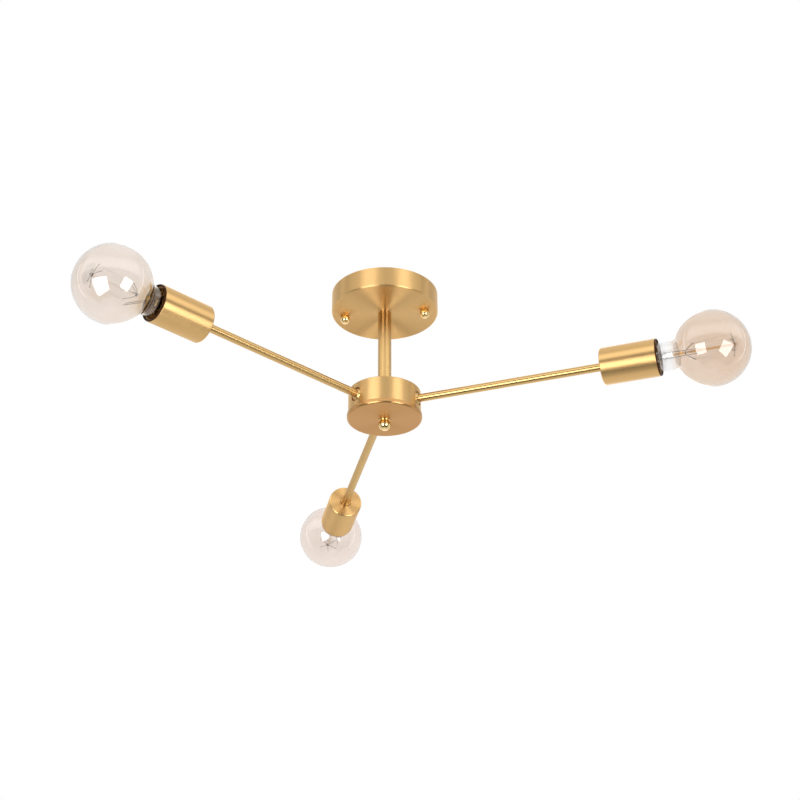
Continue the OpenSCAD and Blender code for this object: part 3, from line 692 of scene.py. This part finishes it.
class CHANDELIER_OT_lampholders(bpy.types.Operator):
    """Makes the moulded lampholders, their screw shells and their contacts"""
    bl_idname = "chandelier.lampholders"
    bl_label = "Lampholders"

    def execute(self, context):
        scene = context.scene
        holder, lamp = scene.chandelier_holders, scene.chandelier_lamps
        cup, finish = scene.chandelier_cups, scene.chandelier_finish
        black = moulded("holder_black", finish.holder, roughness=0.3, grain=260.0, bump=0.1,
                        shine=0.06)
        contact = polished_metal("contact_brass", CONTACT_BRASS, roughness=0.22, grain=500.0)
        # The sleeve's near-matt golden brown is a painted sheen of brass
        sleeve_painted_sheen = polished_metal("sleeve_brass_painted_sheen", SLEEVE_PAINTED_SHEEN_BRASS, roughness=0.45, grain=500.0,
                                metal=0.1)
        for side in SIDES:
            place, body = arm_frame(side), side + "_arm"
            make_piece(self.body_mesh(holder, cup), side + "_moulded_holder", place, body,
                       "holder_black", black, side + "_holder_body")
            make_piece(self.shell_mesh(holder, lamp), side + "_threaded_shell", place, body,
                       "contact_brass", contact, side + "_screw_shell", sharp=60)
            make_piece(self.sleeve_mesh(holder, cup), side + "_mouth_sleeve", place, body,
                       "contact_brass", sleeve_painted_sheen, sharp=60)
            finish_node(side + "_holder_contact", contact)
        return {"FINISHED"}

    def sleeve_mesh(self, holder, cup):
        """Ribbed brass ring that lines the mouth."""
        play, wall, rib, rib_depth = 0.04 * MM, 0.2 * MM, thread_pitch() * 0.75, 0.8 * MM
        radius, start = holder.mouth / 2 - play, holder.shoulder + 0.2 * MM
        front = cup.start + cup.length + 0.6 * MM
        outline = Outline(radius, start).to(radius - wall, start)
        while start + rib < front:
            outline.to(radius - wall, start + 0.3 * rib)
            outline.to(radius - wall - rib_depth, start + 0.65 * rib)
            start += rib
            outline.to(radius - wall, start)
        return outline.to(radius, start).close().turn(72)

    def body_mesh(self, holder, cup):
        """Moulded body with its lip, its stepped inside and the short tube behind it."""
        body, lip, mouth = holder.body / 2, holder.lip / 2, holder.mouth / 2
        tube, bore, shell = 4.6 * MM, 3 * MM, 14.3 * MM
        rim = cup.start + cup.length
        front, tube_end = rim + holder.lip_thickness, holder.start + 6.5 * MM
        outline = Outline(tube, holder.start).to(body, holder.start).to(body, rim).to(lip, rim)
        outline.to(lip, front).to(mouth, front).to(mouth, holder.shoulder)
        outline.to(shell, holder.shoulder).to(shell, holder.floor).to(bore, holder.floor)
        outline.to(bore, tube_end).to(tube, tube_end).close()
        return round_rims(outline.turn(96),
                          (lip, front, 0.7 * MM, 5),
                          (lip, rim, 0.25 * MM, 2),
                          (mouth, front, 1.2 * MM, 6),
                          (body, holder.start, 0.8 * MM, 3))

    def shell_mesh(self, holder, lamp):
        """Thread that the lamp's cap screws into, with a plain mouth and a ring that holds it."""
        wall, gap, eye = 0.35 * MM, 0.22 * MM, 9.5 * MM
        foot_height, mouth_height = 0.8 * MM, 3.6 * MM
        start, end = holder.floor + 1 * MM, holder.shoulder - 0.5 * MM
        plain = end - mouth_height
        crest, root = lamp.crest / 2 + gap + wall, lamp.root / 2 + gap + wall
        coil = thread(start + 0.4 * MM, plain + 0.2 * MM, crest, root, wall)
        foot = Outline(eye, start).to(crest, start).to(crest, start + foot_height)
        foot.to(eye, start + foot_height).close()
        mouth = Outline(crest - wall, plain).to(crest, plain).to(crest, end)
        mouth.to(crest - wall, end).close()
        return joined(coil, foot.turn(THREAD_STEPS), mouth.turn(THREAD_STEPS))


class CHANDELIER_OT_lamp_caps(bpy.types.Operator):
    """Makes the threaded caps of the lamps and finishes their insulators and contacts"""
    bl_idname = "chandelier.lamp_caps"
    bl_label = "Lamp Caps"

    def execute(self, context):
        lamp = context.scene.chandelier_lamps
        metal = polished_metal("cap_brass", CAP_BRASS, roughness=0.2, grain=420.0)
        black = moulded("cap_glass_black", CAP_BLACK, roughness=0.08, grain=300.0, bump=0.2)
        solder = polished_metal("solder", SOLDER_GREY, roughness=0.38, bump=0.6)
        for side in SIDES:
            make_piece(self.cap_mesh(lamp, lamp_distance(side)), side + "_threaded_cap",
                       arm_frame(side), side + "_lamp", "cap_brass", metal, side + "_lamp_cap",
                       sharp=60)
            finish_node(side + "_cap_insulator", black)
            finish_node(side + "_lamp_tip", solder)
        return {"FINISHED"}

    def cap_mesh(self, lamp, centre):
        """Cone, thread and skirt, measured along the arm so that the threads mesh."""
        crest, root, wall, skirt_wall = lamp.crest / 2, lamp.root / 2, 0.4 * MM, 0.45 * MM
        cone_outside, cone_inside = 7.75 * MM, 7.25 * MM
        tip = centre - (lamp.length - lamp.globe / 2)
        rim = tip + lamp.cap_height
        cone, skirt = tip + 3 * MM, rim - 4.2 * MM
        coil = thread(cone + 3 * MM, skirt + 0.4 * MM, crest, root, wall)
        foot = Outline(cone_outside, cone).to(root + 0.1 * MM, cone + 3.3 * MM)
        foot.to(root - 0.5 * MM, cone + 3.5 * MM).to(cone_inside, cone).close()
        collar = Outline(root - 0.3 * MM, skirt).to(crest, skirt + 0.6 * MM).to(crest, rim)
        collar.to(crest - skirt_wall, rim).to(crest - skirt_wall, skirt + 1 * MM)
        collar.to(root - 0.3 * MM, skirt + 0.8 * MM).close()
        return joined(coil, foot.turn(THREAD_STEPS),
                      round_rims(collar.turn(THREAD_STEPS), (crest, rim, 0.2 * MM, 2)))


class CHANDELIER_OT_lamp_glass(bpy.types.Operator):
    """Blows the three amber globes and finishes the glass stems in them"""
    bl_idname = "chandelier.lamp_glass"
    bl_label = "Globes"

    ROD_TINTS = {"right": (0.84, 0.6, 0.32), "rear": (0.93, 0.85, 0.72),
                 "left": (0.96, 0.93, 0.89)}
    # Neck colours: clear on the right and rear lamps; the left one's brown is painted shade, standing in for the
    # dark holder and brass shell seen through its neck
    NECK_TINTS_WITH_PAINTED_SHADE = {"right": (0.97, 0.965, 0.96), "rear": (0.97, 0.96, 0.95),
                  "left": (0.74, 0.56, 0.34)}
    # Heights from the globe's centre between which the clear glass becomes tinted
    GLOBE_FADE = (-46 * MM, -30 * MM)
    ROD_FADE = (-42 * MM, -38 * MM)
    ROD_IOR = 1.5

    def execute(self, context):
        lamp = context.scene.chandelier_lamps
        finish = context.scene.chandelier_finish
        for side in SIDES:
            place = lamp_frame(side)
            glass = lamp_glass("amber_glass_" + side, place, getattr(finish, "amber_" + side),
                               *self.GLOBE_FADE, self.NECK_TINTS_WITH_PAINTED_SHADE[side])
            make_piece(self.globe_mesh(lamp), side + "_blown_globe", place, side + "_lamp",
                       "amber_glass", glass, side + "_globe")
            finish_node(side + "_glass_stem", lamp_glass(
                "stem_glass_" + side, place, self.ROD_TINTS[side], *self.ROD_FADE,
                ior=self.ROD_IOR))
        return {"FINISHED"}

    def globe_mesh(self, lamp):
        """Shell of even thickness: outside from the pole to the cap, and back along the inside."""
        globe, neck, glass, fillet = lamp.globe / 2, lamp.neck / 2, lamp.glass, lamp.fillet
        centre_r = neck + fillet
        centre_h = -math.sqrt((globe + fillet) ** 2 - centre_r ** 2)
        lean = math.degrees(math.atan2(centre_r, -centre_h))
        rim = globe - lamp.length + lamp.cap_height
        seat, shoulder, flare = 12.4 * MM, rim + 4 * MM, rim - 5 * MM
        globe_steps, fillet_steps = 60, 8
        outline = Outline(0, globe)
        outline.arc(0, 0, 180 - lean, globe_steps).arc(centre_r, centre_h, lean - 90, fillet_steps)
        outline.to(neck, shoulder).to(seat, rim).to(seat, flare)
        outline.to(seat - glass, flare).to(seat - glass, rim).to(neck - glass, shoulder)
        outline.to(neck - glass, centre_h)
        outline.arc(centre_r, centre_h, 90 - lean, fillet_steps).arc(0, 0, lean - 180, globe_steps)
        return outline.turn(lamp.steps)


class CHANDELIER_OT_filaments(bpy.types.Operator):
    """Bends the support wires, the lead wires and the filament of each lamp"""
    bl_idname = "chandelier.filaments"
    bl_label = "Filaments"

    TURNS = {"right": 148, "rear": 0, "left": 30}  # turn of each lamp's wires, in degrees
    NEAR, FAR = -28 * MM, 23 * MM  # heights of the two stars of support wires
    NEAR_RADIUS, FAR_RADIUS = 9.5 * MM, 11.5 * MM
    NEAR_HOOK, FAR_HOOK = 9 * MM, -2 * MM  # heights of the hooks over their star
    BEAD_INSIDE, BEAD_OUTSIDE, BEAD_HEIGHT = 1.32 * MM, 1.8 * MM, 0.9 * MM
    WIRE_START = 1.6 * MM  # radius inside the bead where a support wire starts
    HOOK_RADIUS, HOOK_START, HOOK_STEP, HOOK_POINTS = 0.55 * MM, 200, -55, 6
    LEAD_ANGLE, LEAD_RADIUS, LEAD_END = -30, 16.5 * MM, -15 * MM
    LEAD_THICKNESS = 1.3  # share of a support wire's diameter
    # Radius and height of a lead's points in the glass stem and its press
    LEAD_POINTS = ((2.2 * MM, -66 * MM), (2.2 * MM, -58 * MM), (2.2 * MM, -51 * MM),
                   (2.8 * MM, -47 * MM), (3 * MM, -42.8 * MM))

    def execute(self, context):
        lamp = context.scene.chandelier_lamps
        wire = polished_metal("lamp_wire", WIRE_GREY, roughness=0.35, grain=1500.0)
        coil = polished_metal("filament_coil", FILAMENT_BROWN, roughness=0.5, grain=1500.0)
        for side in SIDES:
            place = lamp_frame(side) @ rotation(self.TURNS[side], "Z")
            supports = wires(self.support_paths(), lamp.wire)
            leads = wires(self.lead_paths(), lamp.wire * self.LEAD_THICKNESS)
            filament = wires([self.filament_path()], lamp.filament, smooth=False)
            mount = joined(supports, leads, self.bead(self.NEAR), self.bead(self.FAR))
            make_piece(mount, side + "_filament_wires", place, side + "_lamp", "lamp_wire", wire,
                       side + "_filament_mount")
            make_piece(filament, side + "_filament", place, side + "_lamp", "lamp_wire", coil)
        return {"FINISHED"}

    def bead(self, height):
        """Bead of melted glass and metal that holds a star of wires on the rod."""
        inside, outside, top = self.BEAD_INSIDE, self.BEAD_OUTSIDE, height + self.BEAD_HEIGHT
        outline = Outline(inside, height).to(outside, height).to(outside, top).to(inside, top)
        return round_rims(outline.close().turn(24),
                          (outside, height, 0.2 * MM, 2), (outside, top, 0.2 * MM, 2))

    def hooks(self):
        """Angle, radius, rod height and hook height of every support wire."""
        near = [(30 + 60 * i, self.NEAR_RADIUS, self.NEAR, self.NEAR + self.NEAR_HOOK)
                for i in range(5)]
        far = [(60 * i, self.FAR_RADIUS, self.FAR, self.FAR + self.FAR_HOOK) for i in range(6)]
        return near, far

    def support_paths(self):
        """Bowed wires from the beads to the filament, with a hook at the end of each."""
        near, far = self.hooks()
        paths = []
        for angle, radius, root, height in near + far:
            start = on_circle(angle, self.WIRE_START, root + self.BEAD_HEIGHT / 2)
            end = on_circle(angle, radius, height)
            bow = Vector((0, 0, (root - height) * 0.12))
            path = [start, start.lerp(end, 0.45) + bow, start.lerp(end, 0.85)]
            for i in range(self.HOOK_POINTS):
                turn = math.radians(self.HOOK_START + self.HOOK_STEP * i)
                path.append(end + on_circle(angle, self.HOOK_RADIUS * math.cos(turn),
                                            self.HOOK_RADIUS * math.sin(turn)))
            paths.append(path)
        return paths

    def lead_paths(self):
        """Two wires up the stem, through its press and out to the ends of the filament."""
        paths = []
        for sign in (1, -1):
            side = self.LEAD_ANGLE + 90 * sign
            path = [on_circle(side, radius, height) for radius, height in self.LEAD_POINTS]
            end = self.lead_end(sign)
            paths.append(path + [path[-1].lerp(end, 0.35), path[-1].lerp(end, 0.8), end])
        return paths

    def lead_end(self, sign):
        return on_circle(self.LEAD_ANGLE + 8 * sign, self.LEAD_RADIUS, self.LEAD_END)

    def filament_path(self):
        """Zigzag between the two stars, from one lead to the other."""
        near, far = self.hooks()
        stops = [self.lead_end(1)]
        for i, (angle, radius, _, height) in enumerate(far):
            stops.append(on_circle(angle, radius, height))
            if i < len(near):
                angle, radius, _, height = near[i]
                stops.append(on_circle(angle, radius, height))
        stops.append(self.lead_end(-1))
        return stops


class CHANDELIER_OT_stage(bpy.types.Operator):
    """Sets up the floor, the soft studio light and the camera"""
    bl_idname = "chandelier.stage"
    bl_label = "Stage"

    CAMERA_PLACE = Vector((0.2231, -1.5111, -0.9426))
    CAMERA_AZIMUTH, CAMERA_PITCH, CAMERA_ROLL = -7.76, 27.875, -0.137
    CAMERA_LENS = 70.61
    VIEW_AZIMUTH = 8.4
    FLOOR_GREY, FLOOR_GLOW = 0.86, 0.6
    DUSK = 0.25  # how much brighter the dark side is at its top
    # Name, place, lamp that it faces, roll in degrees and shares of the width, height and level
    SOFTBOXES = (("key_left", (-0.40, -0.95, -0.60), "right", -7, 0.94, 0.94, 1.06),
                 ("key_right", (1.11, -1.03, -0.73), "left", -8, 1.15, 1.33, 1.02))

    def execute(self, context):
        stage = context.scene.chandelier_stage
        context.scene.view_settings.view_transform = "Standard"
        self.camera(context)
        self.world(context, stage)
        self.floor(context, stage)
        for softbox in self.SOFTBOXES:
            self.softbox(context, stage, *softbox)
        return {"FINISHED"}

    def camera(self, context):
        camera = bpy.data.objects.new("camera", bpy.data.cameras.new("camera"))
        camera.data.lens = self.CAMERA_LENS
        camera.data.sensor_width = 36
        camera.data.clip_end = 50
        aim = (rotation(-self.CAMERA_AZIMUTH, "Z") @ rotation(90 + self.CAMERA_PITCH, "X")
               @ rotation(self.CAMERA_ROLL, "Z"))
        camera.matrix_world = Matrix.Translation(self.CAMERA_PLACE) @ aim
        context.scene.collection.objects.link(camera)
        context.scene.camera = camera

    def softbox(self, context, stage, name, place, side, roll, width, height, level):
        light = bpy.data.lights.new(name, "AREA")
        light.shape = "RECTANGLE"
        light.size = stage.lamp_width * width
        light.size_y = stage.lamp_height * height
        light.energy = stage.lamp_level * level * math.pi * light.size * light.size_y
        lamp = bpy.data.objects.new(name, light)
        place = Vector(place)
        aim = (place - lamp_frame(side).translation).to_track_quat("Z", "Y").to_matrix().to_4x4()
        lamp.matrix_world = Matrix.Translation(place) @ aim @ rotation(roll, "Z")
        lamp.visible_camera = False
        lamp.visible_transmission = False
        context.scene.collection.objects.link(lamp)

    def world(self, context, stage):
        """White behind the object; in reflections a pale studio with a dark side before it."""
        world = bpy.data.worlds.new("studio")
        context.scene.world = world
        tree = Tree(world)
        way = tree.add("TexCoord").outputs["Generated"]
        turned = tree.add("Mapping", way, None, (0, 0, math.radians(-self.VIEW_AZIMUTH)),
                          vector_type="POINT").outputs[0]
        x, y, z = tree.add("SeparateXYZ", turned).outputs[:3]
        # Angle from the camera's side to either hand, and angle above the horizon
        azimuth = tree.math("ABSOLUTE", tree.math("ARCTAN2", x, tree.math("MULTIPLY", y, -1.0)))
        rise = tree.math("ARCSINE", z)

        def fade(value, low, high, start, end, smooth=True):
            """Value that goes from low to high between two angles in degrees."""
            return tree.ramp(value, low, high, math.radians(start), math.radians(end), smooth)

        def zone(value, start, end, soft):
            """One between two angles in degrees, and soft at both."""
            return tree.math("MULTIPLY", fade(value, 0.0, 1.0, start - soft, start + soft),
                             fade(value, 1.0, 0.0, end - soft, end + soft))

        behind = fade(azimuth, 0.0, 1.0, 100, 160)
        overhead = fade(rise, 0.0, 1.0, 40, 75)
        studio = tree.blend(tree.math("MAXIMUM", behind, overhead), stage.sides, stage.backdrop)
        dusk = fade(rise, stage.opening, stage.opening + self.DUSK, -48, -8, smooth=False)
        # Level of each patch, and the azimuths and rises that it fills: start, end and softness
        for level, azimuths, rises in ((stage.ceiling, (-40, 86, 10), (14, 48, 12)),
                                       (dusk, (-40, 84, 5), (-66, 14, 4)),
                                       (stage.strips, (96, 99, 0.8), (-28, 38, 5)),
                                       (stage.strips, (170, 190, 4), (-2, 55, 8))):
            patch = tree.math("MULTIPLY", zone(azimuth, *azimuths), zone(rise, *rises))
            studio = tree.blend(patch, studio, level)
        path = tree.add("LightPath").outputs
        shown = tree.math("MAXIMUM", path["Is Camera Ray"], path["Is Transmission Ray"])
        tree.output("OutputWorld",
                    tree.add("Background", (1, 1, 1, 1), tree.blend(shown, studio, 1.0)))

    def floor(self, context, stage):
        bm = bmesh.new()
        bmesh.ops.create_grid(bm, x_segments=1, y_segments=1, size=stage.floor_size / 2)
        bmesh.ops.translate(bm, verts=bm.verts, vec=(0, 0, stage.floor_height))
        mesh = bpy.data.meshes.new("floor")
        bm.to_mesh(mesh)
        bm.free()
        tree = Tree(bpy.data.materials.new("pale_floor"))
        path = tree.add("LightPath").outputs
        seen = tree.math("MULTIPLY", path["Is Camera Ray"], self.FLOOR_GLOW)
        matt = tree.add("BsdfDiffuse", rgba([self.FLOOR_GREY] * 3))
        glow = tree.add("Emission", (1, 1, 1, 1), 1.0)
        both = tree.add("MixShader", seen, matt.outputs[0], glow.outputs[0])
        mesh.materials.append(tree.output("OutputMaterial", both))
        floor = bpy.data.objects.new("floor", mesh)
        floor.visible_glossy = False
        context.scene.collection.objects.link(floor)


class CHANDELIER_PT_panel(bpy.types.Panel):
    """Lists the chandelier's pieces with their sizes and colours"""
    bl_idname = "CHANDELIER_PT_panel"
    bl_label = "Chandelier"
    bl_space_type = "VIEW_3D"
    bl_region_type = "UI"
    bl_category = "Chandelier"

    def draw(self, context):
        layout = self.layout
        for attribute, group in GROUPS.items():
            box = layout.box()
            settings = getattr(context.scene, attribute)
            for name in group.__annotations__:
                box.prop(settings, name)
        for operator in OPERATORS:
            layout.operator(operator.bl_idname)


GROUPS = {
    "chandelier_cover": CoverSizes,
    "chandelier_nuts": NutSizes,
    "chandelier_cups": CupSizes,
    "chandelier_holders": HolderSizes,
    "chandelier_lamps": LampSizes,
    "chandelier_finish": Finishes,
    "chandelier_stage": StageSizes,
}
OPERATORS = (
    CHANDELIER_OT_stage,
    CHANDELIER_OT_hub,
    CHANDELIER_OT_arms,
    CHANDELIER_OT_cups,
    CHANDELIER_OT_lampholders,
    CHANDELIER_OT_lamp_caps,
    CHANDELIER_OT_lamp_glass,
    CHANDELIER_OT_filaments,
)
CLASSES = (*GROUPS.values(), *OPERATORS, CHANDELIER_PT_panel)


def register():
    for each in CLASSES:
        bpy.utils.register_class(each)
    for attribute, group in GROUPS.items():
        setattr(bpy.types.Scene, attribute, PointerProperty(type=group))


def unregister():
    for attribute in GROUPS:
        delattr(bpy.types.Scene, attribute)
    for each in reversed(CLASSES):
        bpy.utils.unregister_class(each)


def main():
    register()
    for operator in OPERATORS:
        group, name = operator.bl_idname.split(".")
        getattr(getattr(bpy.ops, group), name)()


if __name__ == "__main__":
    main()
